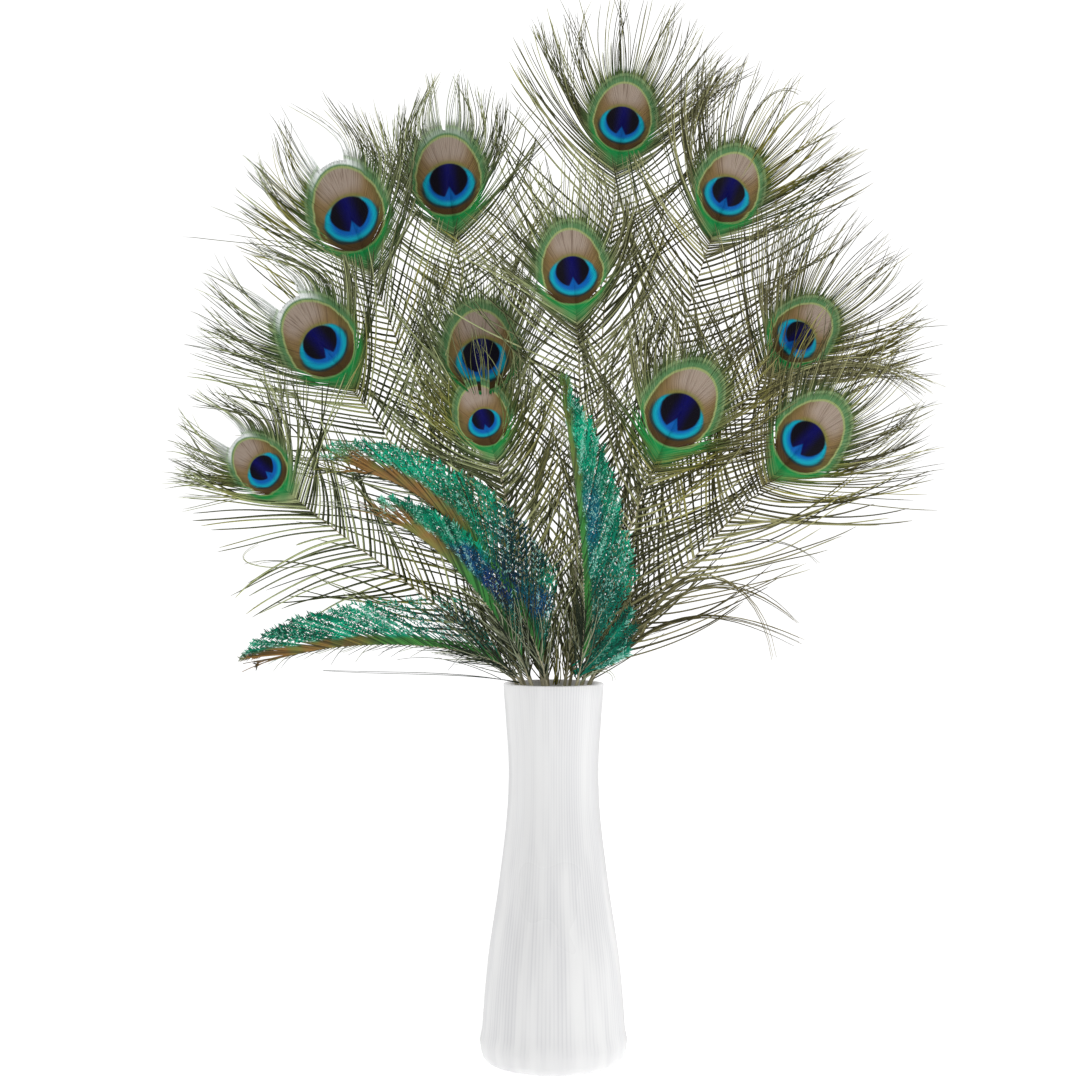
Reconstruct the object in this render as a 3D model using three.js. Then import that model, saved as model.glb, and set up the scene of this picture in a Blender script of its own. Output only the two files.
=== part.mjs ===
// Peacock feathers standing in a white ceramic vase: twelve eyed tail feathers and four green sword feathers.
// Millimetres, +Z up, +X to the right and +Y to the back. The origin is the centre of the vase's foot.
import * as THREE from "three";

// Vase
const VASE_HEIGHT = 203;
const WALL = 3.5;
const LIP_WALL = 2.5;
const FLOOR_THICKNESS = 6;
const FLOOR_CORNER = 1; // how far the inside narrows on its way down to the floor
const VASE_SIDES = 36;
const VASE_OUTSIDE = [
  // height, radius: foot, belly, waist and mouth
  [0, 35.5],
  [5, 39],
  [19, 38.4],
  [52, 35.7],
  [96, 29.4],
  [141, 24.6],
  [161, 24.3],
  [181, 25.6],
  [VASE_HEIGHT, 27.2],
];

// How the feathers stand: each lies in a sheet of its own, so that no two touch
const FRONT_AT_MOUTH = -16;
const MOUTH_STEP = 1.4;
const FRONT_OUTSIDE = -75;
const OUTSIDE_STEP = 9.33;
const SPREAD_RADIUS = 300;
const SPREAD_POWER = 1.1;
const SWEEP_BACK = 0.00075; // how much the bouquet's sides bow to the back, in 1/mm
const FOOT_CLEARANCE = 0.3;
const FOOT_SPREAD = 0.35; // a stem's foot lies this share of the way out that it has at the mouth
const STEM_BEND_POWER = 8;
const STEM_HEIGHTS = [60, 120, 160, 185];

// Shaft and vane
const SHAFT_HALF_WIDTH = 1.1;
const SHAFT_HALF_THICKNESS = 0.9;
const NECK_HALF_WIDTH = 0.7; // the shaft just under the eye
const TIP_HALF_THICKNESS = 0.3;
const SHAFT_BEND_AT_MOUTH = 0.2;
const SHAFT_BEND_AT_END = 0.35;
const BARE_SHAFT = 24;

// Locks of an eyed feather, by the distance from the pupil's centre down the shaft
const EYE_TOP = -4;
const EYE_FOOT = 26;
const EYE_LOCKS = 7;
const EYE_FILL = 0.36; // the share of a top lock that is joined to its neighbours
const LOOSE_LOCKS = 14;
const LOOSE_CROWDING = 1.3; // the loose locks stand closer together towards the eye
const LOOSE_ANGLE = 47;
const OPENING_DISTANCE = 14; // how soon the locks open out to that angle
const FRINGE_LENGTH = 62;
const EXTRA_LENGTH = 22;
const LENGTHENING_DISTANCE = 25;
const SHORTER_FROM = 60;
const SHORTEST_FROM = 280;
const SHORTEST_SHARE = 0.62;
const LOOSE_CURL = 0.1;
const EYE_CURL = 0.4;
const CURL_DISTANCE = 25;

// Locks of a sword feather, by the distance from the tip down the shaft
const BLADE = { locks: 18, fill: 0.72, angle: 24, tipLength: 30, length: 58 };
const THIN_SIDE = { locks: 11, fill: 0, angle: 20, tipLength: 15, length: 15 };
const SWORD_OPENING_DISTANCE = 30;
const SWORD_TIP_SHARE = 0.1;
const SWORD_LEAVING = 1.25;
const SWORD_ARRIVING = 0.7;

const BARE_STATION = 30; // spacing of the corners along the bare shaft
const BEND_DROP = 0.45; // how far a lock's bend lies from its middle line towards its lower edge
const SAME_PLACE = 0.001;

const VASE_COLOUR = 0xf2f2f0;
const TAIL_COLOUR = 0x5f6b3a;
const SWORD_COLOUR = 0x0f8f6a;

// layer: place in the stack, front to back; mouth: x where the shaft leaves the vase; end: x and z of the
// pupil's centre; lean: the shaft's direction there, in degrees clockwise from straight up; reach: length
// of its locks, where 1 is a full-sized feather; bare: shaft above the mouth that carries no locks
const EYE_FEATHERS = [
  { layer: 12, mouth: -12, end: [-114, 462], lean: -20, reach: 1.15 },
  { layer: 14, mouth: -5, end: [-59, 483], lean: -5, reach: 1, bare: 104 },
  { layer: 15, mouth: 9, end: [40, 520], lean: 8, reach: 1.1, bare: 84 },
  { layer: 13, mouth: 16, end: [99, 476], lean: 22, reach: 1.25, bare: 110 },
  { layer: 6, mouth: 6, end: [10, 422], lean: -6, reach: 0.95 },
  { layer: 10, mouth: -16, end: [-128, 388], lean: -38, reach: 1.2 },
  { layer: 9, mouth: -3, end: [-39, 379], lean: -5, reach: 0.95 },
  { layer: 4, mouth: -6, end: [-37, 343], lean: -18, reach: 0.75 },
  { layer: 8, mouth: -20, end: [-159, 319], lean: -55, reach: 0.9 },
  { layer: 5, mouth: 15, end: [67, 347], lean: 30, reach: 1 },
  { layer: 11, mouth: 20, end: [137, 393], lean: 46, reach: 1.2 },
  { layer: 7, mouth: 19, end: [137, 334], lean: 42, reach: 1.15 },
];

// The same for the sword feathers, where end is the shaft's tip
const SWORD_FEATHERS = [
  { layer: 0, mouth: 12, end: [6, 345], lean: -10, reach: 1 },
  { layer: 2, mouth: -4, end: [-107, 316], lean: -88, reach: 0.95 },
  { layer: 1, mouth: -12, end: [-86, 290], lean: -68, reach: 0.8 },
  { layer: 3, mouth: -17, end: [-146, 217], lean: -107, reach: 0.85 },
];

const { degToRad: radians, radToDeg: degrees, lerp: mix, smoothstep } = THREE.MathUtils;

// A direction in the x-z plane, from an angle clockwise from straight up.
function heading(angle) {
  return new THREE.Vector2(Math.sin(radians(angle)), Math.cos(radians(angle)));
}

function rightOf(direction) {
  return new THREE.Vector2(direction.y, -direction.x);
}

// How far back a feather's sheet lies at x, z. Sheets are in the same order everywhere, so they never cross.
function sheetDepth(layer, x, z) {
  const radius = Math.hypot(x, z - VASE_HEIGHT);
  const near = FRONT_AT_MOUTH + MOUTH_STEP * layer;
  const far = FRONT_OUTSIDE + OUTSIDE_STEP * layer;
  return near + (far - near) * (radius / SPREAD_RADIUS) ** SPREAD_POWER + SWEEP_BACK * x * x;
}

// The shaft above the mouth, with its slope at the mouth carried on from the stem inside the vase.
function shaftCurve(feather) {
  const start = new THREE.Vector2(feather.mouth, VASE_HEIGHT);
  const end = new THREE.Vector2(...feather.end);
  const stemLength = VASE_HEIGHT - FLOOR_THICKNESS;
  const slope = (feather.mouth * (1 - FOOT_SPREAD) * STEM_BEND_POWER) / stemLength;
  const span = start.distanceTo(end);
  const leaving = new THREE.Vector2(slope, 1).normalize().multiplyScalar(SHAFT_BEND_AT_MOUTH * span);
  const arriving = heading(feather.lean).multiplyScalar(SHAFT_BEND_AT_END * span);
  return new THREE.CubicBezierCurve(start, start.clone().add(leaving), end.clone().sub(arriving), end);
}

// The shaft's centre and direction at a distance down from its end; a negative distance runs on past it.
function shaftAt(feather, distance) {
  const share = THREE.MathUtils.clamp(1 - distance / feather.length, 0, 1);
  const direction = feather.curve.getTangentAt(share);
  const centre = feather.curve.getPointAt(share);
  if (distance < 0) centre.addScaledVector(direction, -distance);
  return { centre, direction };
}

// Length and angles of a lock of an eyed feather: straight up at the top, longer and wider open below.
function eyeLock(feather, distance) {
  const below = distance - EYE_TOP;
  const angle = LOOSE_ANGLE * (1 - Math.exp(-below / OPENING_DISTANCE));
  const curl = EYE_CURL * Math.exp(-below / CURL_DISTANCE);
  const shortening = mix(1, SHORTEST_SHARE, smoothstep(distance, SHORTER_FROM, SHORTEST_FROM));
  const length = FRINGE_LENGTH + EXTRA_LENGTH * (1 - Math.exp(-below / LENGTHENING_DISTANCE));
  return {
    length: length * shortening * feather.reach,
    angle,
    leaving: angle * (1 + LOOSE_CURL + curl),
    arriving: angle * (1 - LOOSE_CURL - curl / 2),
  };
}

// The same for a sword feather, whose right side is a broad blade and whose left side is thin.
function swordLock(feather, distance, side) {
  const vane = side > 0 ? BLADE : THIN_SIDE;
  const opening = 1 - Math.exp(-distance / SWORD_OPENING_DISTANCE);
  const angle = vane.angle * mix(SWORD_TIP_SHARE, 1, opening);
  const length = mix(vane.tipLength, vane.length, opening) * feather.reach;
  return { length, angle, leaving: angle * SWORD_LEAVING, arriving: angle * SWORD_ARRIVING };
}

// A point of the lock that leaves the shaft at a distance, a share of the way along it.
function lockPoint(feather, distance, side, share) {
  const { centre, direction } = shaftAt(feather, distance);
  const lock = feather.lock(feather, distance, side);
  const shaftAngle = degrees(Math.atan2(direction.x, direction.y));
  const along = (angle, length) => heading(shaftAngle + side * angle).multiplyScalar(length);
  const tip = centre.clone().add(along(lock.angle, lock.length));
  const third = lock.length / 3;
  const first = centre.clone().add(along(lock.leaving, third));
  const second = tip.clone().sub(along(lock.arriving, third));
  return new THREE.CubicBezierCurve(centre, first, second, tip).getPoint(share);
}

// A corner of a feather's outline: its place in x and z, its depth, and half the thickness there.
function cornerAt(feather, place, half) {
  return { place, half, depth: sheetDepth(feather.layer, place.x, place.y) };
}

// One edge of the shaft, at a distance down from its end.
function shaftEdge(feather, distance, side) {
  const { centre, direction } = shaftAt(feather, distance);
  const halfWidth = mix(NECK_HALF_WIDTH, SHAFT_HALF_WIDTH, distance / feather.length);
  centre.addScaledVector(rightOf(direction), side * halfWidth);
  return cornerAt(feather, centre, SHAFT_HALF_THICKNESS);
}

// One side of the vane, from its foot to its top: a joint between two locks, a bend and a tip for each lock.
function vaneSide(feather, side) {
  const joints = feather.joints(feather, side);
  return joints.slice(0, -1).flatMap((joint, i) => {
    const middle = (joint + joints[i + 1]) / 2;
    const fill = feather.fill(joint, side);
    const web = mix(SHAFT_HALF_THICKNESS, TIP_HALF_THICKNESS, fill);
    const root = fill
      ? cornerAt(feather, lockPoint(feather, joint, side, fill), web)
      : shaftEdge(feather, joint, side);
    const bend = lockPoint(feather, mix(middle, joint, BEND_DROP), side, (1 + fill) / 2);
    const tip = lockPoint(feather, middle, side, 1);
    return [root, cornerAt(feather, bend, TIP_HALF_THICKNESS), cornerAt(feather, tip, TIP_HALF_THICKNESS)];
  });
}

// The stem inside the vase, which bends outwards in the neck, and the bare shaft above the rim.
function stemSide(feather, side) {
  const foot = FLOOR_THICKNESS + FOOT_CLEARANCE;
  const inVase = FRONT_AT_MOUTH + MOUTH_STEP * feather.layer;
  const atMouth = sheetDepth(feather.layer, feather.mouth, VASE_HEIGHT);
  const stem = [foot, ...STEM_HEIGHTS].map((height) => {
    const bend = ((height - foot) / (VASE_HEIGHT - foot)) ** STEM_BEND_POWER;
    const x = feather.mouth * mix(FOOT_SPREAD, 1, bend) + side * SHAFT_HALF_WIDTH;
    const place = new THREE.Vector2(x, height);
    return { place, half: SHAFT_HALF_THICKNESS, depth: mix(inVase, atMouth, bend) };
  });
  const stations = Math.ceil(feather.bare / BARE_STATION);
  const bare = Array.from({ length: stations }, (_, i) => {
    return shaftEdge(feather, feather.length - (feather.bare * i) / stations, side);
  });
  return [...stem, ...bare];
}

function evenly(from, to, count) {
  return Array.from({ length: count + 1 }, (_, i) => mix(from, to, i / count));
}

// Where the locks of an eyed feather join, from the lowest to the top of the eye.
function eyeJoints(feather) {
  const lowest = feather.length - feather.bare;
  const loose = evenly(1, 0, LOOSE_LOCKS).map((share) => mix(EYE_FOOT, lowest, share ** LOOSE_CROWDING));
  return [...loose.slice(0, -1), ...evenly(EYE_FOOT, EYE_TOP, EYE_LOCKS)];
}

function swordJoints(feather, side) {
  return evenly(feather.length - feather.bare, 0, (side > 0 ? BLADE : THIN_SIDE).locks);
}

// A feather: one flat outline, thick along the shaft and thin at the tips, bent into its own sheet.
function featherGeometry(feather) {
  const right = [...stemSide(feather, 1), ...vaneSide(feather, 1)];
  const left = [...stemSide(feather, -1), ...vaneSide(feather, -1)];
  const crown = lockPoint(feather, feather.top, 1, feather.fill(feather.top, 1));
  const corners = [...right, cornerAt(feather, crown, TIP_HALF_THICKNESS), ...left.reverse()];
  const outline = new THREE.Shape(corners.map((corner) => corner.place));
  const geometry = new THREE.ExtrudeGeometry(outline, { depth: 1, bevelEnabled: false });
  const position = geometry.getAttribute("position");
  for (let i = 0; i < position.count; i++) {
    const x = position.getX(i);
    const z = position.getY(i);
    const face = 1 - 2 * position.getZ(i);
    const corner = corners.find(({ place }) => Math.hypot(place.x - x, place.y - z) < SAME_PLACE);
    position.setXYZ(i, x, corner.depth + face * corner.half, z);
  }
  geometry.computeVertexNormals();
  return geometry;
}

function eyeFeather(feather) {
  const curve = shaftCurve(feather);
  const fill = (distance) => EYE_FILL * Math.max(0, (EYE_FOOT - distance) / (EYE_FOOT - EYE_TOP));
  const vane = { lock: eyeLock, joints: eyeJoints, fill, top: EYE_TOP };
  return { bare: BARE_SHAFT, ...feather, ...vane, curve, length: curve.getLength() };
}

function swordFeather(feather) {
  const curve = shaftCurve(feather);
  const fill = (distance, side) => (side > 0 ? BLADE : THIN_SIDE).fill;
  const vane = { lock: swordLock, joints: swordJoints, fill, top: 0 };
  return { bare: BARE_SHAFT, ...feather, ...vane, curve, length: curve.getLength() };
}

function featherMesh(name, feather, colour) {
  const material = new THREE.MeshStandardMaterial({ color: colour, roughness: 0.6, metalness: 0 });
  const mesh = new THREE.Mesh(featherGeometry(feather), material);
  mesh.name = name;
  return mesh;
}

// The vase is turned from one closed profile: up the outside, over the lip, and down the inside to the floor.
function vaseMesh() {
  const outside = VASE_OUTSIDE.map(([height, radius]) => new THREE.Vector2(radius, height));
  const wallAt = (height) => (height === VASE_HEIGHT ? LIP_WALL : WALL);
  const inside = VASE_OUTSIDE.filter(([height]) => height > FLOOR_THICKNESS)
    .map(([height, radius]) => new THREE.Vector2(radius - wallAt(height), height))
    .reverse();
  const profile = [
    new THREE.Vector2(0, 0),
    ...outside,
    ...inside,
    new THREE.Vector2(inside.at(-1).x - FLOOR_CORNER, FLOOR_THICKNESS),
    new THREE.Vector2(0, FLOOR_THICKNESS),
  ];
  const geometry = new THREE.LatheGeometry(profile, VASE_SIDES).rotateX(Math.PI / 2);
  const glaze = new THREE.MeshStandardMaterial({ color: VASE_COLOUR, roughness: 0.25, metalness: 0 });
  const mesh = new THREE.Mesh(geometry, glaze);
  mesh.name = "vase";
  return mesh;
}

function numbered(name, index) {
  return name + "_" + String(index + 1).padStart(2, "0");
}

const bouquet = new THREE.Group();
bouquet.add(vaseMesh());
EYE_FEATHERS.forEach((feather, i) => {
  bouquet.add(featherMesh(numbered("eye_feather", i), eyeFeather(feather), TAIL_COLOUR));
});
SWORD_FEATHERS.forEach((feather, i) => {
  bouquet.add(featherMesh(numbered("sword_feather", i), swordFeather(feather), SWORD_COLOUR));
});

export default bouquet;
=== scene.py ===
# %% [markdown]
# # Peacock feathers in a white vase
#
# Twelve tail feathers that end in an eye, and four curved green sword feathers, stand in a slim glazed vase.
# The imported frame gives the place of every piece, and this lesson gives each its real surface. A feather is
# made of hundreds of thin strands, the barbs, so most of the work is one good way to make strands.

# %% Load the fixed frame
import math
import bpy
import numpy as np
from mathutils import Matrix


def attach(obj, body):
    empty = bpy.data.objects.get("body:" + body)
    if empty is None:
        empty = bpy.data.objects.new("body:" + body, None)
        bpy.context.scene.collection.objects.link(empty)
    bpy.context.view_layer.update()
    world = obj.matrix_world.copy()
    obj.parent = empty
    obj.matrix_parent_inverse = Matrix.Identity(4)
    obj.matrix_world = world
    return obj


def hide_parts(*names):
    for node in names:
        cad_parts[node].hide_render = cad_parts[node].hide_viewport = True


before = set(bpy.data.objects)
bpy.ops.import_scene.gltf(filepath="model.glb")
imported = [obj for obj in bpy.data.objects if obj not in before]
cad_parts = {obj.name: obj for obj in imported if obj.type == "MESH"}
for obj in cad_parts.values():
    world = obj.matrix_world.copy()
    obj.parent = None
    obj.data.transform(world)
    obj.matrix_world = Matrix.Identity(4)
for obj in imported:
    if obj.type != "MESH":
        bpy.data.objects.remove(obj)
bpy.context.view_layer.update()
print("pieces in the frame:", len(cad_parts))

# %% [markdown]
# ## Camera, floor and light
#
# The bouquet is seen straight on from about a metre away, at the height where the feathers leave the neck of
# the vase. A long lens keeps the feathers at the back nearly as large as those in front.

# %% Camera
CAMERA_PLACE = (-0.0073, -1.080, 0.280)
LENS = 66.7
camera_data = bpy.data.cameras.new("camera")
camera_data.lens = LENS
camera_data.sensor_width = 36
camera = bpy.data.objects.new("camera", camera_data)
camera.location = CAMERA_PLACE
camera.rotation_euler = (math.pi / 2, 0, 0)
bpy.context.scene.collection.objects.link(camera)
bpy.context.scene.camera = camera
print("camera distance in metres:", -CAMERA_PLACE[1])

# %% [markdown]
# The floor is a sheet of white paper that curves up behind the vase, so no horizon shows. It starts as a
# plane. Its far edge is drawn up, and the fold is bevelled into a soft bend.


# %% Floor sweep
def clear_selection():
    if bpy.context.object and bpy.context.object.mode != "OBJECT":
        bpy.ops.object.mode_set(mode="OBJECT")
    bpy.ops.object.select_all(action="DESELECT")


def pick(mesh, wanted):
    """Selects the vertices of the mesh in edit mode for which wanted is true, and what they span."""
    bpy.ops.mesh.select_mode(type="VERT")
    bpy.ops.mesh.select_all(action="DESELECT")
    bpy.ops.object.mode_set(mode="OBJECT")
    for vertex in mesh.vertices:
        vertex.select = bool(wanted(vertex.co))
    bpy.ops.object.mode_set(mode="EDIT")


FLOOR_SIZE = 8
SWEEP_HEIGHT = 4
clear_selection()
bpy.ops.mesh.primitive_plane_add(size=FLOOR_SIZE, location=(0, 0, 0))
floor = bpy.context.object
floor.name = "floor"
bpy.ops.object.mode_set(mode="EDIT")
pick(floor.data, lambda co: co.y > 0)
bpy.ops.mesh.extrude_region_move(TRANSFORM_OT_translate={"value": (0, 0, SWEEP_HEIGHT)})
pick(floor.data, lambda co: co.y > 0 and co.z < 0.1)
bpy.ops.mesh.bevel(offset=1.5, segments=16, affect="EDGES")
bpy.ops.object.mode_set(mode="OBJECT")
bpy.ops.object.shade_smooth()
print("floor faces:", len(floor.data.polygons))


# %% [markdown]
# Colours are easiest to name as on a paint card, in hexadecimal. A renderer works with light, so each is
# turned from the screen's curve into linear values once, here.


# %% Colours
def paint(card):
    """A linear colour with alpha from a hexadecimal name such as "#0aa0c8"."""
    channels = [int(card[i : i + 2], 16) / 255 for i in (1, 3, 5)]
    return [c / 12.92 if c <= 0.04045 else ((c + 0.055) / 1.055) ** 2.4 for c in channels] + [1]


def plain_material(name):
    """A new material with its tree, and its Principled shader."""
    material = bpy.data.materials.new(name)
    material.use_nodes = True
    return material, material.node_tree.nodes["Principled BSDF"]


paper, shader = plain_material("floor_paper")
shader.inputs["Base Color"].default_value = paint("#fafafa")
shader.inputs["Roughness"].default_value = 0.9
shader.inputs["Emission Color"].default_value = paint("#ffffff")
shader.inputs["Emission Strength"].default_value = 0.42
floor.data.materials.append(paper)

# %% [markdown]
# Feathers look best in light from all round. The white world is the main light. One large soft panel from the
# upper right gives each strand a lit and a shaded side, and a weak one at the left edges the vase with light.


# %% Light
def soft_panel(name, place, aim, size, power):
    light = bpy.data.lights.new(name, "AREA")
    light.shape = "SQUARE"
    light.size = size
    light.energy = power
    lamp = bpy.data.objects.new(name, light)
    lamp.location = place
    direction = np.array(aim) - np.array(place)
    flat = math.hypot(direction[0], direction[1])
    turn = math.atan2(direction[0], -direction[1]) + math.pi
    lamp.rotation_euler = (math.atan2(flat, -direction[2]), 0, turn)
    bpy.context.scene.collection.objects.link(lamp)


world = bpy.data.worlds.new("studio")
world.use_nodes = True
world.node_tree.nodes["Background"].inputs["Color"].default_value = (1, 1, 1, 1)
world.node_tree.nodes["Background"].inputs["Strength"].default_value = 0.55
bpy.context.scene.world = world
bpy.context.scene.view_settings.view_transform = "Standard"
BOUQUET_MIDDLE = (0, 0, 0.35)
soft_panel("key_light", (1.35, -0.95, 1.4), BOUQUET_MIDDLE, 0.9, 13.5)
soft_panel("fill_light", (-1.6, 0.1, 0.6), BOUQUET_MIDDLE, 1.2, 3.5)
print("lights: world and 2 panels")

# %% [markdown]
# ## The vase
#
# The vase is slip-cast stoneware with fine upright ribs under a clear white glaze. On a wheel or in a mould
# its outline is one line turned about the axis. Here a ring is drawn up by hand, ring after ring, each scaled
# to the outline, over the lip and down the inside. A real foot stands on a narrow ring, so the middle of the
# base is hollow.

# %% The outline
MM = 0.001
MOUTH = 203.0
RIBS = 110
OUTLINE_HEIGHTS = [0, 5, 19, 52, 96, 141, 161, 181, MOUTH]
OUTLINE_RADII = [35.5, 39, 38.4, 35.7, 29.4, 24.6, 24.3, 25.6, 27.2]
WALL = 3.5
FLOOR_TOP = 6.0


def vase_radius(height):
    """The outside radius at a height: a smooth curve through the outline's points."""
    slopes = np.gradient(OUTLINE_RADII, OUTLINE_HEIGHTS)
    i = int(np.clip(np.searchsorted(OUTLINE_HEIGHTS, height) - 1, 0, len(OUTLINE_HEIGHTS) - 2))
    span = OUTLINE_HEIGHTS[i + 1] - OUTLINE_HEIGHTS[i]
    t = (height - OUTLINE_HEIGHTS[i]) / span
    start = (1 + 2 * t) * (1 - t) ** 2 * OUTLINE_RADII[i] + t * (1 - t) ** 2 * span * slopes[i]
    end = t * t * (3 - 2 * t) * OUTLINE_RADII[i + 1] + t * t * (t - 1) * span * slopes[i + 1]
    return start + end


outside = [(vase_radius(h), h) for h in np.linspace(5, MOUTH - 1, 34)]
inside = [(vase_radius(h) - WALL, h) for h in np.linspace(MOUTH - 6, FLOOR_TOP + 4, 18)]
foot = [(30, 1.6), (31, 0.5), (32.5, 0), (35.0, 0), (36.6, 0.6), (38.2, 2.4)]
lip = [(27.0, MOUTH - 0.3), (26.4, MOUTH), (25.4, MOUTH), (24.8, MOUTH - 0.5)]
rings = foot + outside + lip + inside + [(34.0, FLOOR_TOP + 1), (32.0, FLOOR_TOP)]
print("rings:", len(rings))

# %% Draw the vase up, ring by ring
clear_selection()
bpy.ops.mesh.primitive_circle_add(
    vertices=2 * RIBS, radius=rings[0][0] * MM, fill_type="NOTHING", location=(0, 0, rings[0][1] * MM)
)
vase = bpy.context.object
vase.name = "ribbed_vase"
bpy.ops.object.transform_apply(location=True, rotation=True, scale=True)
bpy.ops.object.mode_set(mode="EDIT")
bpy.ops.mesh.select_all(action="SELECT")
bpy.ops.mesh.edge_face_add()
for (radius, height), (next_radius, next_height) in zip(rings, rings[1:]):
    bpy.ops.mesh.select_mode(type="VERT")
    bpy.ops.mesh.select_all(action="DESELECT")
    bpy.ops.object.mode_set(mode="OBJECT")
    newest = len(vase.data.vertices) - 2 * RIBS
    for vertex in vase.data.vertices:
        vertex.select = vertex.index >= newest
    bpy.ops.object.mode_set(mode="EDIT")
    rise = (0, 0, (next_height - height) * MM)
    bpy.ops.mesh.extrude_edges_move(TRANSFORM_OT_translate={"value": rise})
    growth = next_radius / radius
    bpy.ops.transform.resize(value=(growth, growth, 1), center_override=(0, 0, 0))
bpy.ops.mesh.edge_face_add()
bpy.ops.mesh.select_all(action="SELECT")
bpy.ops.mesh.normals_make_consistent(inside=False)
bpy.ops.object.mode_set(mode="OBJECT")
print("vase faces:", len(vase.data.polygons))

# %% [markdown]
# The ribs are cut last. Every second upright line of the outside is drawn in a little towards the axis, and
# less so near the lip and the foot, where the glaze runs smooth.

# %% Ribs
RIB_DEPTH = 0.22
bpy.context.view_layer.objects.active = vase
bpy.ops.object.mode_set(mode="EDIT")
for _, height in outside[1:]:
    radius = vase_radius(height)
    fade = min(1, (MOUTH - height) / 8, (height - 5) / 8)

    def groove(co):
        turn = round(math.atan2(co.y, co.x) / (math.pi / RIBS))
        at_height = abs(co.z - height * MM) < 1e-5
        return at_height and math.hypot(co.x, co.y) > (radius - 1) * MM and turn % 2 == 1

    pick(vase.data, groove)
    shrink = 1 - RIB_DEPTH * fade / radius
    bpy.ops.transform.resize(value=(shrink, shrink, 1), center_override=(0, 0, 0))
bpy.ops.object.mode_set(mode="OBJECT")
bpy.ops.object.shade_smooth_by_angle(angle=math.radians(50))
print("ribs:", RIBS)


# %% [markdown]
# ## Tools for node trees
#
# Node trees are long when each node is written out. This small helper adds a node and links what it is given,
# so that a mask reads almost like a formula.


# %% Node helper
class Tree:
    """Adds nodes to a tree. A value may be a number, a colour or another node's output."""

    def __init__(self, tree):
        self.tree = tree

    def link(self, value, socket):
        if isinstance(value, bpy.types.NodeSocket):
            self.tree.links.new(value, socket)
        else:
            socket.default_value = value

    def node(self, kind, inputs, output=0, **settings):
        """Adds one node with its settings and inputs, by number or name, and gives one of its outputs."""
        node = self.tree.nodes.new("ShaderNode" + kind)
        for name, setting in settings.items():
            setattr(node, name, setting)
        for socket, value in inputs.items():
            self.link(value, node.inputs[socket])
        return node.outputs[output]

    def math(self, operation, *values, clamp=False):
        return self.node("Math", dict(enumerate(values)), operation=operation, use_clamp=clamp)

    def add(self, a, b):
        return self.math("ADD", a, b)

    def subtract(self, a, b):
        return self.math("SUBTRACT", a, b)

    def times(self, a, b):
        return self.math("MULTIPLY", a, b)

    def band(self, value, start, end):
        """Goes smoothly from 0 at the start to 1 at the end, which may lie below the start."""
        return self.node("MapRange", {0: value, 1: start, 2: end}, interpolation_type="SMOOTHSTEP")

    def mix(self, share, a, b):
        return self.node("Mix", {0: share, 6: a, 7: b}, 2, data_type="RGBA")

    def split(self, vector):
        first = self.node("SeparateXYZ", {0: vector})
        return first.node.outputs[:]

    def uv(self, name):
        return self.node("UVMap", {}, uv_map=name)

    def place(self):
        return self.node("TexCoord", {}, "Object")

    def noise(self, vector, scale, detail=2.0, stretch=(1, 1, 1)):
        stretched = self.node("Mapping", {"Vector": vector, "Scale": stretch})
        return self.node("TexNoise", {"Vector": stretched, "Scale": scale, "Detail": detail})

    def bump(self, height, strength, distance):
        return self.node("Bump", {"Height": height, "Strength": strength, "Distance": distance})

    def use(self, group, output, **inputs):
        return self.node("Group", inputs, output, node_tree=bpy.data.node_groups[group])


def new_group(name, inputs, outputs):
    """A node group with named sockets: its tree, the input sockets by name, and a way to set an output."""
    group = bpy.data.node_groups.new(name, "ShaderNodeTree")
    for way, sockets in (("INPUT", inputs), ("OUTPUT", outputs)):
        for title, kind in sockets.items():
            group.interface.new_socket(title, in_out=way, socket_type="NodeSocket" + kind)
    given = group.nodes.new("NodeGroupInput").outputs
    result = group.nodes.new("NodeGroupOutput").inputs
    return Tree(group), given, result


# %% [markdown]
# ## The glaze
#
# Clear glaze over white clay is bright, glossy and a little uneven. The grooves between the ribs get a
# painted shade, a touch greyer. Slow noise changes the white by a hair, and a faint bump breaks the
# reflections.

# %% Glaze
glaze, shader = plain_material("white_glaze")
nodes = Tree(glaze.node_tree)
spot = nodes.place()
x, y, z = nodes.split(spot)
groove = nodes.math("COSINE", nodes.times(nodes.math("ARCTAN2", y, x), RIBS))
groove = nodes.times(nodes.band(groove, 0.2, -0.9), nodes.band(z, 0.004, 0.02))
streak = nodes.noise(spot, 110, 2, stretch=(1, 1, 0.015))
cloud = nodes.noise(spot, 14, 2)
tint = nodes.mix(nodes.band(streak, 0.3, 0.7), paint("#ededed"), paint("#e3e3e4"))
# Painted shade: the grooves between the ribs are mixed towards grey.
depth = nodes.times(groove, nodes.band(streak, 0.35, 0.65))
tint = nodes.mix(nodes.times(depth, 0.45), tint, paint("#cfcfd2"))
nodes.link(tint, shader.inputs["Base Color"])
nodes.link(nodes.add(0.24, nodes.times(cloud, 0.1)), shader.inputs["Roughness"])
nodes.link(nodes.bump(cloud, 0.05, 0.001), shader.inputs["Normal"])
shader.inputs["Coat Weight"].default_value = 0.3
shader.inputs["Coat Roughness"].default_value = 0.08
vase.data.materials.append(glaze)
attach(vase, "root")
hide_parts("vase")
print("vase ready")

# %% [markdown]
# ## How the feathers lie
#
# Each feather lies in a sheet of its own, bowed to the back at the sides, so that feathers can cross and
# hardly touch each other. All lines are drawn flat first, in millimetres across and up, and then each point
# gets the depth of its sheet. Angles are in degrees clockwise from straight up.

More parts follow.
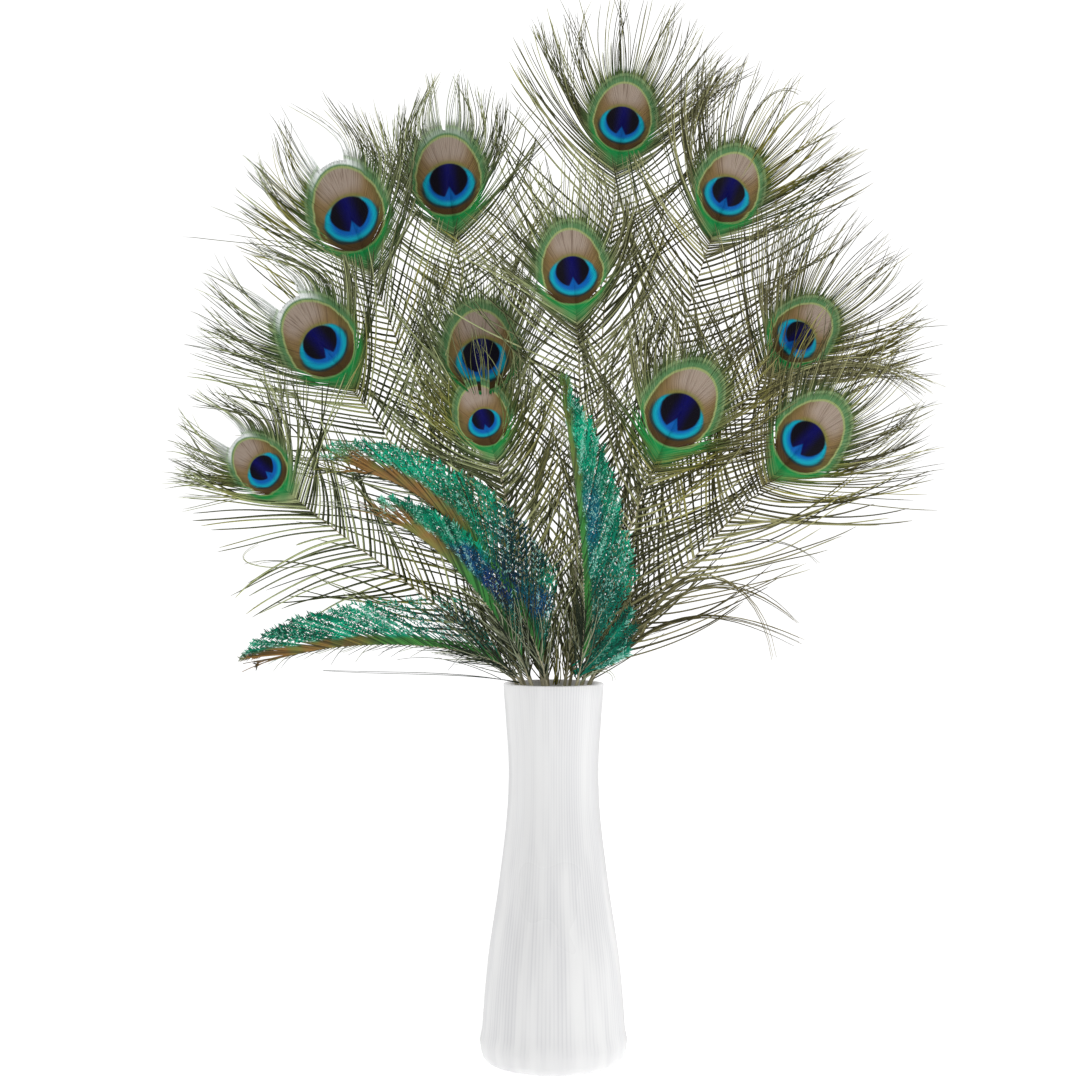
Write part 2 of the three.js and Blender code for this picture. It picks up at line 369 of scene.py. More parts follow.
# %% Sheets and shafts
FRONT_AT_MOUTH = -16
MOUTH_STEP = 1.4
FRONT_OUTSIDE = -75
OUTSIDE_STEP = 9.33
SPREAD_RADIUS = 300
SPREAD_POWER = 1.1
SWEEP_BACK = 0.00075
STEM_FOOT = FLOOR_TOP + 0.3
FOOT_SPREAD = 0.35
STEM_BEND_POWER = 8


def mix(a, b, share):
    return a + (b - a) * share


def smooth(value, low, high):
    """Rises smoothly from 0 at low to 1 at high."""
    share = np.clip((value - low) / (high - low), 0, 1)
    return share * share * (3 - 2 * share)


def heading(angle):
    return np.stack([np.sin(np.radians(angle)), np.cos(np.radians(angle))], axis=-1)


def sheet_depth(layer, across, up):
    radius = np.hypot(across, up - MOUTH)
    near = FRONT_AT_MOUTH + MOUTH_STEP * layer
    far = FRONT_OUTSIDE + OUTSIDE_STEP * layer
    return near + (far - near) * (radius / SPREAD_RADIUS) ** SPREAD_POWER + SWEEP_BACK * across**2


def bezier(start, first, second, end, share):
    share = share[..., None]
    rest = 1 - share
    return rest**3 * start + 3 * rest**2 * share * first + 3 * rest * share**2 * second + share**3 * end


def with_shaft(feather):
    """Adds the shaft's line above the mouth, the distance along it, and its direction."""
    start = np.array([feather["mouth"], MOUTH], float)
    end = np.array(feather["end"], float)
    span = np.linalg.norm(end - start)
    slope = feather["mouth"] * (1 - FOOT_SPREAD) * STEM_BEND_POWER / (MOUTH - FLOOR_TOP)
    leaving = np.array([slope, 1]) / math.hypot(slope, 1) * 0.2 * span
    arriving = heading(feather["lean"]) * 0.35 * span
    line = bezier(start, start + leaving, end - arriving, end, np.linspace(0, 1, 401))
    run = np.concatenate([[0], np.cumsum(np.linalg.norm(np.diff(line, axis=0), axis=1))])
    ahead = np.gradient(line, run, axis=0)
    return {**feather, "line": line, "run": run, "ahead": ahead, "length": run[-1]}


def shaft_at(feather, distance):
    """The shaft's centre and direction at distances down from its end; past the end it runs straight on."""
    along = np.clip(feather["length"] - distance, 0, feather["length"])
    centre = np.stack([np.interp(along, feather["run"], feather["line"][:, i]) for i in (0, 1)], axis=-1)
    ahead = np.stack([np.interp(along, feather["run"], feather["ahead"][:, i]) for i in (0, 1)], axis=-1)
    ahead /= np.linalg.norm(ahead, axis=-1, keepdims=True)
    return centre + ahead * np.maximum(-distance, 0)[..., None], ahead


# %% [markdown]
# ## Strands
#
# Barbs, barbules and shafts are all strands: a small section drawn along a line, thick at the root and fine
# at the tip. Curves with a bevel or hair could make them too, but arrays of points make thousands at once and
# keep every one closed. A barb's section is a flat triangle with its ridge to the front, so one side catches
# the light. Each strand also gets its own strip of a map for baking, and maps that its colours follow.

# %% Strands from arrays
RIDGED = [(-1, -0.35), (0, 1), (1, -0.35)]
ROUND = [(math.cos(a), math.sin(a)) for a in np.linspace(0, -2 * math.pi, 8, endpoint=False)]
TO_FRONT = np.array([0.0, -1.0, 0.0])


def strands(line, half_width, half_height, section, plan, tone, slot=0):
    """Closed strands along lines of 3-D points (strand, station, 3), with plan (strand, station, 2)."""
    count, stations = line.shape[:2]
    rails = len(section)
    ahead = np.gradient(line, axis=1)
    ahead /= np.linalg.norm(ahead, axis=-1, keepdims=True) + 1e-12
    front = TO_FRONT - ahead * (ahead @ TO_FRONT)[..., None]
    front /= np.linalg.norm(front, axis=-1, keepdims=True)
    side = np.cross(ahead, front)
    offsets = np.array(section)
    points = line[:, :, None] + side[:, :, None] * (half_width[..., None] * offsets[:, 0])[..., None]
    points = points + front[:, :, None] * (half_height[..., None] * offsets[:, 1])[..., None]
    station, rail = np.meshgrid(np.arange(stations - 1), np.arange(rails), indexing="ij")
    station, rail = station.ravel(), rail.ravel()
    following = (rail + 1) % rails
    here, next_ring = station * rails, (station + 1) * rails
    quads = np.stack([here + rail, here + following, next_ring + following, next_ring + rail], axis=1)
    caps = np.stack([np.arange(rails)[::-1], np.arange(rails) + (stations - 1) * rails])
    quad_along = np.stack([station, station, station + 1, station + 1], axis=1) / (stations - 1)
    quad_round = np.stack([rail, rail + 1, rail + 1, rail], axis=1) / rails
    cap_along = np.stack([np.full(rails, -0.01), np.full(rails, 1.01)])
    cap_along[:, 1] += (-0.01, 0.01)
    cap_round = np.tile(np.arange(rails) / rails, (2, 1))
    shift = np.arange(count)[:, None] * stations * rails
    corners = np.concatenate([quads.ravel(), caps.ravel()])
    return {
        "points": points.reshape(-1, 3),
        "corners": (corners[None] + shift).ravel(),
        "totals": np.tile(np.concatenate([np.full(len(quads), 4), np.full(2, rails)]), count),
        "along": np.tile(np.concatenate([quad_along.ravel(), cap_along.ravel()]), count),
        "round": np.tile(np.concatenate([quad_round.ravel(), cap_round.ravel()]), count),
        "strand": np.repeat(np.arange(count), len(corners)),
        "plan": np.repeat(plan.reshape(-1, 2), rails, axis=0),
        "tone": np.repeat(tone, len(corners)),
        "count": count,
        "slots": np.full(count * (len(quads) + 2), slot),
    }


# %% [markdown]
# A feather is joined from several sets of strands. The baking map is cut into rows of cells, one cell for
# each strand, so no two faces share a place on it.

# %% Join strands into one mesh
BAKE_COLUMNS = 3


def bake_cells(sets, shares):
    """Places in the unit square for each set's corners: a horizontal band for each set, cells inside it."""
    floor_line = 0.0
    places = []
    for part, share in zip(sets, shares):
        rows = math.ceil(part["count"] / BAKE_COLUMNS)
        column, row = part["strand"] % BAKE_COLUMNS, part["strand"] // BAKE_COLUMNS
        u = (column + 0.04 + 0.92 * part["along"]) / BAKE_COLUMNS
        v = floor_line + share * (row + 0.06 + 0.88 * part["round"]) / rows
        places.append(np.stack([u, v], axis=1))
        floor_line += share
    return np.concatenate(places)


def feather_object(name, sets, shares, materials, marks=(0.0, 1.0, 1.0)):
    """One object from sets of strands, their shares of the baking map and the eye's own values."""

    def joined(key):
        return np.concatenate([part[key] for part in sets])

    starts = np.cumsum([0] + [len(part["points"]) for part in sets])
    corners = np.concatenate([part["corners"] + start for part, start in zip(sets, starts)])
    totals = joined("totals")
    mesh = bpy.data.meshes.new(name)
    mesh.vertices.add(starts[-1])
    mesh.vertices.foreach_set("co", (joined("points") * MM).ravel().astype(np.float32))
    mesh.loops.add(len(corners))
    mesh.loops.foreach_set("vertex_index", corners.astype(np.int32))
    mesh.polygons.add(len(totals))
    mesh.polygons.foreach_set("loop_start", (np.cumsum(totals) - totals).astype(np.int32))
    mesh.polygons.foreach_set("loop_total", totals.astype(np.int32))
    mesh.polygons.foreach_set("material_index", joined("slots").astype(np.int32))
    around = joined("round")
    window, ring, pupil = (np.full(len(around), mark) for mark in marks)
    maps = {
        "OFBake": bake_cells(sets, shares),
        "plan": joined("plan")[corners],
        "strand": np.stack([np.clip(joined("along"), 0, 1), joined("tone")], axis=1),
        "around": np.stack([around, window], axis=1),
        "marks": np.stack([ring, pupil], axis=1),
    }
    for title, values in maps.items():
        mesh.uv_layers.new(name=title).data.foreach_set("uv", values.ravel().astype(np.float32))
    mesh.update(calc_edges=True)
    mesh.validate()
    for material in materials:
        mesh.materials.append(material)
    piece = bpy.data.objects.new(name, mesh)
    bpy.context.scene.collection.objects.link(piece)
    return piece


def lifted(feather, flat, raise_by):
    """Flat points become 3-D ones on the feather's sheet, moved to the front by raise_by."""
    depth = sheet_depth(feather["layer"], flat[..., 0], flat[..., 1]) - raise_by
    return np.stack([flat[..., 0], depth, flat[..., 1]], axis=-1)


def ridged(feather, flat, raise_by, half, plan, tone, flatness=0.5):
    """Ridged strands along flat lines on the feather's sheet."""
    return strands(lifted(feather, flat, raise_by), half, half * flatness, RIDGED, plan, tone)


# %% [markdown]
# ## The shaft
#
# The shaft, or rachis, is a stiff ivory rod. It stands on the vase's floor, bends out in the neck, runs up
# behind the barbs and thins to a hair inside the eye.


# %% Shaft strand
STEM_HEIGHTS = [STEM_FOOT, 60, 120, 150, 170, 185, 195]
SHAFT_SLOT = 1
BEHIND_BARBS = 0.4


def shaft_strand(feather, past_end, foot_width, end_width):
    heights = np.array(STEM_HEIGHTS)
    bend = ((heights - STEM_FOOT) / (MOUTH - STEM_FOOT)) ** STEM_BEND_POWER
    in_vase = FRONT_AT_MOUTH + MOUTH_STEP * feather["layer"]
    at_mouth = sheet_depth(feather["layer"], feather["mouth"], MOUTH)
    across = feather["mouth"] * mix(FOOT_SPREAD, 1, bend)
    stem = np.stack([across, mix(in_vase, at_mouth, bend), heights], axis=1)
    down = np.linspace(feather["length"], -past_end, 40)
    upper = lifted(feather, shaft_at(feather, down)[0], -BEHIND_BARBS)
    line = np.concatenate([stem, upper])[None]
    share = np.concatenate([np.zeros(len(stem)), np.linspace(0, 1, len(upper))])
    half = mix(foot_width, end_width, share**0.8)[None]
    plan = np.stack([line[..., 0] * 0, line[..., 2]], axis=-1)
    return strands(line, half, half * 0.85, ROUND, plan, np.zeros(1), SHAFT_SLOT)


# %% [markdown]
# ## Barbs of an eyed tail feather
#
# In the eye the barbs lie close together and lock into a smooth plate. Below it they stand apart and open
# like a fishbone. The top ones run on past the plate as a thin fringe. Every barb is one curve that leaves
# the shaft steeply and bends towards the tip. Its width follows the space to its neighbour inside the plate,
# so the plate closes, and shrinks to a fine thread outside it. Real barbs cling together in small tufts, so
# the random turns are alike for neighbours.

# %% Lines of barbs
STATIONS = 15


def barb_lines(centre, turn, side, growth, share):
    """Flat curves that leave the shaft at one angle and arrive at another; growth has angles and length."""
    angle, leaving, arriving, length = growth

    def along(bearing, reach):
        return heading(turn + side * bearing) * reach[:, None]

    tip = centre + along(angle, length)
    first = centre + along(leaving, length / 3)
    second = tip - along(arriving, length / 3)
    return bezier(centre[:, None], first[:, None], second[:, None], tip[:, None], share)


def on_plan(down):
    """Roots on a feather laid out straight, with the end of its shaft at the middle."""
    return np.stack([down * 0, -down], axis=1)


def on_shaft(feather, down):
    centre, ahead = shaft_at(feather, down)
    return centre, np.degrees(np.arctan2(ahead[:, 0], ahead[:, 1]))


def rightwards(ahead):
    return np.stack([ahead[..., 1], -ahead[..., 0]], axis=-1)


def across_of(line):
    """Directions square to flat lines, to their right."""
    across = rightwards(np.gradient(line, axis=1))
    return across / np.linalg.norm(across, axis=-1, keepdims=True)


def tufted(chance, count, reach):
    """Random values about 1 in size in which neighbours up to reach apart are alike."""
    window = np.hanning(2 * reach + 3)
    values = np.convolve(chance.normal(0, 1, count + len(window)), window, mode="same")
    return values[:count] / np.sqrt((window**2).sum())


# %% [markdown]
# The table says where each eyed feather lies: its layer from the front, where it crosses the mouth, the end
# of its shaft, the lean there, how long its barbs are, how they bow on each side and how far they are combed
# to the right. The rest describes its eye: the size of the eye, its ring and its pupil, the bare window above
# it with the point where the barbs meet again, and the share of other barbs that cross it.

# %% Where the eyed feathers lie
USUAL_EYE = dict(reach=1.0, bow=(0.1, 0.1), ring=1.0, pupil=1.0, window=0.0, meet=0, crossed=0.0)
EYE_ROWS = [
    dict(layer=12, mouth=-12, end=(-114, 462), lean=-20, reach=1.15, comb=0.2, eye=1.04,
         window=0.8, meet=-11),
    dict(layer=14, mouth=-5, end=(-59, 483), lean=-5, comb=0.5, eye=0.97,
         ring=1.03, pupil=1.06, window=0.1, meet=2),
    dict(layer=15, mouth=9, end=(40, 520), lean=8, reach=1.2, bow=(0.2, 0.1), comb=0.4, eye=0.86, pupil=1.05),
    dict(layer=13, mouth=16, end=(99, 476), lean=22, reach=1.25, bow=(0.1, 0.0), comb=0.5, eye=0.88,
         pupil=1.02),
    dict(layer=6, mouth=6, end=(10, 422), lean=-6, reach=0.95, comb=-0.2, eye=0.83),
    dict(layer=10, mouth=-16, end=(-128, 388), lean=-38, reach=1.2, bow=(0.0, 0.1), comb=-0.2, eye=0.97,
         ring=0.98, pupil=0.98, window=0.8, meet=-16, crossed=0.08),
    dict(layer=9, mouth=-3, end=(-39, 379), lean=-5, reach=0.95, comb=0.3, eye=0.92, pupil=1.05, crossed=0.2),
    dict(layer=4, mouth=-6, end=(-37, 343), lean=-18, reach=0.75, comb=0.0, eye=0.68, ring=0.86, pupil=0.85),
    dict(layer=8, mouth=-20, end=(-159, 319), lean=-46, reach=0.9, bow=(-0.35, 0.2), comb=0.2, eye=0.7,
         pupil=0.96, window=0.75, meet=-5),
    dict(layer=5, mouth=15, end=(67, 347), lean=30, bow=(0.1, 0.2), comb=0.3, eye=0.93,
         ring=1.02, pupil=1.12),
    dict(layer=11, mouth=20, end=(137, 393), lean=46, reach=1.2, bow=(0.1, 0.2), comb=-0.3, eye=0.8,
         crossed=0.6),
    dict(layer=7, mouth=19, end=(137, 334), lean=42, reach=1.15, bow=(0.1, 0.15), comb=-0.4, eye=0.9,
         pupil=1.08),
]
EYE_FEATHERS = [{**USUAL_EYE, **row} for row in EYE_ROWS]
print("eyed feathers:", len(EYE_FEATHERS))

# %% Where tail barbs grow
EYE_TOP = -4
EYE_FOOT = 28
LOWEST_BARB = 12
LOOSE_ANGLE = 43
OPENING = 14
FRINGE = 66
EXTRA = 22
LENGTHENING = 25
EYE_WIDE = 18.8
EYE_HIGH = 27.5
EYE_LOW = 19.6
PLATE_EDGE = 1.15
CLEAR_EDGE = 1.12


def egg(plan):
    """How far out of the eye's bronze egg a point of the plan lies: 1 on its edge."""
    high = np.where(plan[..., 1] > 0, EYE_HIGH, EYE_LOW)
    return np.hypot(plan[..., 0] / EYE_WIDE, plan[..., 1] / high)


def root_places(feather, chance):
    """Distances of the barb roots from the pupil's centre, close in the eye and wider apart below."""
    places, place = [], EYE_TOP
    size = feather["eye"]
    while place < feather["length"] - LOWEST_BARB:
        places.append(place)
        below_eye = np.clip((place - EYE_FOOT * size) * 0.15, 0, 3.1)
        spacing = 0.36 * size + below_eye + np.clip((place - 60) * 0.027, 0, 3.8)
        place += spacing * chance.uniform(0.8, 1.2)
    return np.array(places)


def tail_growth(feather, side, down, bow):
    """Angle, leaving and arriving angle, and length of the barbs rooted at distances down.

    Low down the barbs are pressed towards the shaft, most of all on the side that faces the bouquet.
    """
    outward = side * np.clip(feather["end"][0] / 100, -1, 1)
    pressed = mix(1, 0.64 + 0.14 * outward, smooth(down, 50, 190))
    below = down - EYE_TOP
    angle = LOOSE_ANGLE * (1 - np.exp(-below / (OPENING * feather["eye"]))) * pressed
    curl = 0.4 * np.exp(-below / LENGTHENING) + bow * mix(1, 0.45, smooth(down, 45, 160))
    length = (FRINGE + EXTRA * (1 - np.exp(-below / LENGTHENING))) * mix(1, 0.62, smooth(down, 60, 280))
    return angle, angle * (1.1 + curl), angle * (0.9 - 0.8 * curl), length * feather["reach"]


def clear_of_eyes(feather, line, crossing):
    """The share of each barb that is left when it ends before the eyes that show behind it from the front."""
    sideways, front, up = (value / MM for value in CAMERA_PLACE)
    steps = line.shape[1] - 1
    kept = np.ones(len(line))
    near = sheet_depth(feather["layer"], line[..., 0], line[..., 1])
    for other in (other for other in EYE_FEATHERS if other["layer"] > feather["layer"]):
        far = sheet_depth(other["layer"], *other["end"])
        scale = ((far - front) / (near - front))[..., None]
        seen = (line - [sideways, up]) * scale + [sideways, up] - other["end"]
        ahead, right = heading(other["lean"]), heading(other["lean"] + 90)
        plan = np.stack([seen @ right, seen @ ahead], axis=-1) / other["eye"]
        inside_eye = (egg(plan) < CLEAR_EDGE) & (crossing > other["crossed"])[:, None]
        first = np.where(inside_eye.any(axis=1), inside_eye.argmax(axis=1) - 0.5, steps)
        kept = np.minimum(kept, np.maximum(first, 0.6) / steps)
    return kept


# %% [markdown]
# The barbs of one side are laid twice: straight on the plan, where the eye's pattern is, and bent on the
# sheet, where chance moves them. A few are short or broken. In the plate the moves fade out, so it stays
# closed.

# %% One side of a tail feather
BOW = 0.14
FINE_STEPS = 160
SHORT_CHANCE = 0.24
BROKEN_CHANCE = 0.06
STRAY_CHANCE = 0.045
STRAY_SWING = 12
COMB_SWING = 12
TUFT_SWING = 11
BARE_WIDTH = 9
RIPPLE = 0.8


def tail_side(feather, side, chance):
    down = root_places(feather, chance)
    count, size = len(down), feather["eye"]
    order = np.arange(count)
    bow = BOW + feather["bow"][side > 0]
    growth = tail_growth(feather, side, down, bow)
    loose = smooth(down, 24 * size, 46 * size)
    whole = np.linspace(0, 1, FINE_STEPS + 1)[None] * np.ones((count, 1))
    straight = barb_lines(on_plan(down), 0, side, growth, whole) / size
    exit_step = (egg(straight) > PLATE_EDGE).argmax(axis=1)
    exit_share, leaves = exit_step / FINE_STEPS, straight[order, exit_step]
    opened = BARE_WIDTH * feather["window"]
    open_top = (np.abs(leaves[:, 0]) < opened) & (leaves[:, 1] > 0)
    short = chance.random(count) < SHORT_CHANCE * (1 - smooth(down, 15 * size, 26 * size))
    short = short & (order > 0)
    broken = chance.random(count) < BROKEN_CHANCE * loose
    full = chance.uniform(0.8, 1.0, count)
    end = np.where(short, np.minimum(exit_share + chance.uniform(0.05, 0.3, count), full), full)
    end = np.where(broken, chance.uniform(0.3, 0.7, count), end)
    end = np.where(open_top, exit_share + 0.004, end)

    centre, turn = on_shaft(feather, down)
    alone = chance.normal(0, 1, count) * mix(0.22, 1.3, loose)
    leaning = turn + alone + tufted(chance, count, 4) * mix(0.25, 4.2, loose)
    bent = tail_growth(feather, side, down, bow + tufted(chance, count, 6) * mix(0.03, 0.22, loose))
    wander = tufted(chance, count, 4) * TUFT_SWING + chance.normal(0, 2.6, count)
    wander += feather["comb"] * COMB_SWING
    stray = (chance.random(count) < STRAY_CHANCE) * chance.normal(0, STRAY_SWING, count)
    pace, phase = chance.uniform(4, 11, (count, 1)), chance.uniform(0, 6, (count, 1))
    gather = (feather["window"] > 0) * (np.abs(leaves[:, 0]) > opened)
    gather = gather * (1 - smooth(down, 9 * size, 20 * size)) * chance.uniform(0.75, 1.0, count)
    inwards = (feather["meet"] - leaves[:, 0] * size * 1.4) * gather

    def lay(share):
        """Places in the sheet at shares of the length."""
        line = barb_lines(centre, leaning, side, bent, share)
        outer = np.clip(share - mix(exit_share[:, None], 0, loose[:, None]), 0, 1)
        swing = (wander + stray)[:, None] * outer**2 * mix(1.6, 1.0, loose)[:, None]
        ripple = RIPPLE * np.sin(share * pace + phase) * outer
        line = line + across_of(line) * (swing + ripple)[..., None]
        return line + heading(turn + 90)[:, None] * (inwards[:, None] * smooth(outer, 0.05, 0.75))[..., None]

    fine = np.linspace(0, 1, 31)[None] * end[:, None]
    kept = clear_of_eyes(feather, lay(fine), chance.random(count))
    steps = np.linspace(0, 1, STATIONS)[None]
    share = steps * (end * kept)[:, None]
    plan = barb_lines(on_plan(down), 0, side, growth, share) / size
    after = np.append(down[1:], 2 * down[-1] - down[-2])
    neighbour = barb_lines(on_plan(after), 0, side, tail_growth(feather, side, after, bow), share) / size
    gap = np.abs(((neighbour - plan) * across_of(plan)).sum(axis=-1)) * size
    thickness = chance.uniform(0.7, 1.2, (count, 1)) * mix(0.58, 1.03, loose)[:, None]
    thread = mix(0.62, 0.27, share / full[:, None]) * thickness
    plate = (1 - smooth(egg(plan), PLATE_EDGE - 0.08, PLATE_EDGE + 0.25)) * (1 - loose[:, None])
    half = mix(thread, np.clip(0.95 * gap + 0.12, 0.3, 1.3), plate)
    half[:, -1] *= 0.35
    drift = (tufted(chance, count, 4) * 2.5 + chance.normal(0, 2.0, count) + 2.5)[:, None] * steps**2
    lift = mix(drift, 0.1 * (order % 2)[:, None] + 0 * steps, plate)
    return ridged(feather, lay(share), lift, half, plan, chance.random(count))


# %% [markdown]
# ## Down at the foot of the vane
#
# The lowest part of every vane is soft dark down that lies along the shaft. It fills the neck of the bouquet,
# so the shafts hardly show where they leave the vase.

# %% Down
DOWN_SPACING = 1.15
DOWN_PLAN = (-6.0, -190.0)


def down_tuft(feather, chance, top):
    """Fine short strands on both sides, from just above the mouth to a height along the shaft."""
    places = np.repeat(feather["length"] - np.arange(2, top, DOWN_SPACING), 2)
    side = np.tile([-1, 1], len(places) // 2)
    count = len(places)
    angle = chance.uniform(2, 25, count)
    length = chance.uniform(18, 46, count) * mix(1, 0.6, np.linspace(0, 1, count))
    centre, turn = on_shaft(feather, places)
    steps = np.linspace(0, 1, 8)[None]
    growth = angle * side, angle * side * 1.6, angle * side * 0.4, length
    line = barb_lines(centre, turn, 1, growth, steps * np.ones((count, 1)))
    line = line + across_of(line) * (chance.normal(0, 3, (count, 1)) * steps**2)[..., None]
    half = mix(0.33, 0.12, steps) * chance.uniform(0.6, 1.2, (count, 1))
    lift = chance.normal(0, 2.4, (count, 1)) * steps
    plan = np.ones((count, 8, 2)) * DOWN_PLAN
    return ridged(feather, line, lift, half, plan, chance.random(count), 0.6)


# %% [markdown]
# ## Stray barbs
#
# A few barbs have slipped out of the vane. They hang in small bundles, part at their tips, curl over the eye
# or lie across the rim. Each bundle is one curve with four points, in millimetres across and up.


# %% Strays
def stray_bundle(feather, bundle, chance):
    """Barbs that leave one place together: four points of a curve, how many, and how far they part."""
    points, count, parting, width = bundle
    steps = np.linspace(0, 1, STATIONS)[None] * np.ones((count, 1))
    moves = chance.normal(0, 1, (count, 4, 2)) * parting * [[0.2], [0.5], [0.7], [1.0]]
    moved = np.array(points, float)[None] + moves
    line = bezier(*(moved[:, i, None] for i in range(4)), steps)
    half = mix(width, 0.1, steps)
    plan = np.ones((count, STATIONS, 2)) * DOWN_PLAN
    lift = chance.normal(0, 1.5, (count, 1)) * steps
    return ridged(feather, line, lift, half, plan, chance.uniform(0.2, 1, count), 0.6)


# %% [markdown]
# ## Barbs of a sword feather
#
# Sword feathers grow at the sides of the train. One vane is broad. Its barbs lie almost along the shaft and
# carry wide barbules, which make a glittering green blade with a toothed edge. The other vane is only a few
# thin dark threads. Towards the tip the barbules stop, and the last barbs are bare wisps.

# %% Sword barbs
BLADE_ANGLE = 24
BLADE_LENGTH = 58
TIP_LENGTH = 30
THIN_ANGLE = 20
THIN_LENGTH = 15
BLADE_SPACING = 1.75
THIN_SPACING = 3.0
BARBULE_SPACING = 1.25


def sword_growth(feather, side, down):
    blade = side > 0
    spread, power = feather["opening"]
    opening = 1 - np.exp(-((down / spread) ** power))
    length = feather["length"]
    spread_here = mix(*feather["spread"], smooth(down, 0.42 * length, 0.66 * length))
    angle = (BLADE_ANGLE * spread_here if blade else THIN_ANGLE) * mix(0.1, 1, opening)
    tip, full = (TIP_LENGTH, BLADE_LENGTH) if blade else (THIN_LENGTH, THIN_LENGTH)
    return angle, angle * 1.25, angle * 0.7, mix(tip, full, opening) * feather["reach"]


def barbules(feather, line, plan, bare, fullness, chance):
    """Short slivers on both sides of each blade barb; bare is the share at its root that has none."""
    stations = line.shape[1]
    index = np.arange(len(line))
    tone = chance.uniform(0.0, 1.0, len(line))
    roots, tips, plans, tones = [], [], [], []
    for place in np.arange(0.06, 1.0, BARBULE_SPACING / BLADE_LENGTH):
        at = np.clip(place + chance.uniform(-0.01, 0.01, len(line)), 0, 0.995) * (stations - 1)
        low, rest = at.astype(int), (at % 1)[:, None]
        here = mix(line[index, low], line[index, low + 1], rest)
        ahead = line[index, low + 1] - line[index, low]
        ahead /= np.linalg.norm(ahead, axis=-1, keepdims=True)
        right = rightwards(ahead)
        for side in (-1, 1):
            reach = mix(0.9, 2.5, place**0.7) * chance.uniform(0.7, 1.2, (len(line), 1))
            kept = (place > bare) & (chance.random(len(line)) < mix(0.85, 0.95, place) * fullness)
            splay = chance.uniform(0.45, 0.8, (len(line), 1))
            roots.append((here - ahead * 0.1)[kept])
            tips.append((here + (ahead * 0.72 + right * side * splay) * reach)[kept])
            plans.append(mix(plan[index, low], plan[index, low + 1], rest)[kept])
            tones.append(np.clip(tone + chance.normal(0, 0.2, len(line)), 0, 1)[kept])
    roots, tips, plans = (np.concatenate(values) for values in (roots, tips, plans))
    flat = np.stack([roots, (roots + tips) / 2, tips], axis=1)
    half = np.array([[0.30, 0.27, 0.07]]) * chance.uniform(0.7, 1.25, (len(flat), 1))
    lift = chance.uniform(-0.6, 0.6, (len(flat), 1)) * np.array([[0, 0.5, 1]])
    plans = np.repeat(plans[:, None], 3, axis=1)
    return ridged(feather, flat, lift, half, plans, np.concatenate(tones))


def sword_side(feather, side, chance):
    """The barbs of one side: the blade with its barbules, or the thin dark threads."""
    blade = side > 0
    spacing = BLADE_SPACING if blade else THIN_SPACING
    down = np.arange(0.5, feather["length"] - LOWEST_BARB, spacing)
    down = down + chance.uniform(-0.25, 0.25, len(down)) * spacing
    count = len(down)
    growth = sword_growth(feather, side, down)
    wispy = 1 - smooth(down, 0.4 * feather["wisps"], feather["wisps"])
    steps = np.linspace(0, 1, STATIONS)[None]
    share = steps * mix(chance.uniform(0.9, 1.0, count), chance.uniform(0.5, 1.0, count), wispy)[:, None]
    plan = barb_lines(on_plan(down), 0, side, growth, share) - [0, feather["early_green"]]
    centre, turn = on_shaft(feather, down)
    line = barb_lines(centre, turn + chance.normal(0, 0.7, count), side, growth, share)
    sway = chance.normal(0, 1, count) * mix(0.7 if blade else 3, 3.5, wispy)
    line = line + across_of(line) * (sway[:, None] * steps**2)[..., None]
    if not blade:
        half = mix(0.24, 0.09, steps) * np.ones((count, 1))
        return [ridged(feather, line, 0, half, plan, chance.random(count))]
    out, strip_width = plan[..., 0], feather["strip"]
    half = mix(0.68, 0.3, smooth(out, strip_width - 2, strip_width + 2)) * mix(1, 0.45, wispy)[:, None]
    foot = smooth(down, 0.5 * feather["length"], 0.8 * feather["length"]) * feather["thin_foot"]
    half = half * mix(1, 0.6, steps) * mix(1, 0.5, foot)[:, None]
    lift = chance.normal(0, 0.9, (count, 1)) * steps**2
    barbs = ridged(feather, line, lift, half, plan, chance.uniform(0.3, 0.8, count))
    strip = (out > strip_width - 0.5).argmax(axis=1) / (STATIONS - 1)
    bare = np.where(out.max(axis=1) > strip_width, mix(strip, 1.0, wispy), mix(0.5, 1.0, wispy))
    return [barbs, barbules(feather, line, plan, bare, mix(1, 0.25, foot) * feather["full"], chance)]


# %% [markdown]
# ## Plain barbs
#
# Each loose barb has a brightness of its own between a dark and a light colour, with a fine grain along it.
# The right face and the back of its ridge are painted darker, a painted shade that leaves the left face as
# the lit one.
# The effect is a group, so that the feather's material below stays short. There the two colours are olive on
# the left of the bouquet and browner on the right.

# %% Barb colour group
barb_inputs = {"Dark": "Color", "Light": "Color", "Strand": "Vector", "Around": "Vector"}
tree, given, result = new_group("barb_colour", barb_inputs, {"Color": "Color"})
tone = tree.split(given["Strand"])[1]
around = tree.split(given["Around"])[0]
grain = tree.noise(given["Strand"], 9, 1, stretch=(1, 40, 1))
lightness = tree.add(tree.times(tree.times(tone, tone), 0.9), tree.times(grain, 0.4))
# Painted shade: the right face and the back of each barb's ridge are made darker.
shaded = tree.times(tree.band(around, 0.2, 0.45), -0.3)
lightness = tree.math("ADD", lightness, shaded, clamp=True)
tree.link(tree.mix(lightness, given["Dark"], given["Light"]), result["Color"])

# %% [markdown]
# ## The eye
#
# The eye's colours are laid on the feather's flat plan, in millimetres from the pupil's centre. From the
# inside out they are a violet-black pupil with a notch at its foot, a cyan ring, a dark brown crescent, a
# bronze egg that pales to pinkish grey at the top, and a green rim with a bright chin down the shaft. Painted
# on the plan and not on the air, the rings move with each barb, so a gap between two barbs also breaks them.

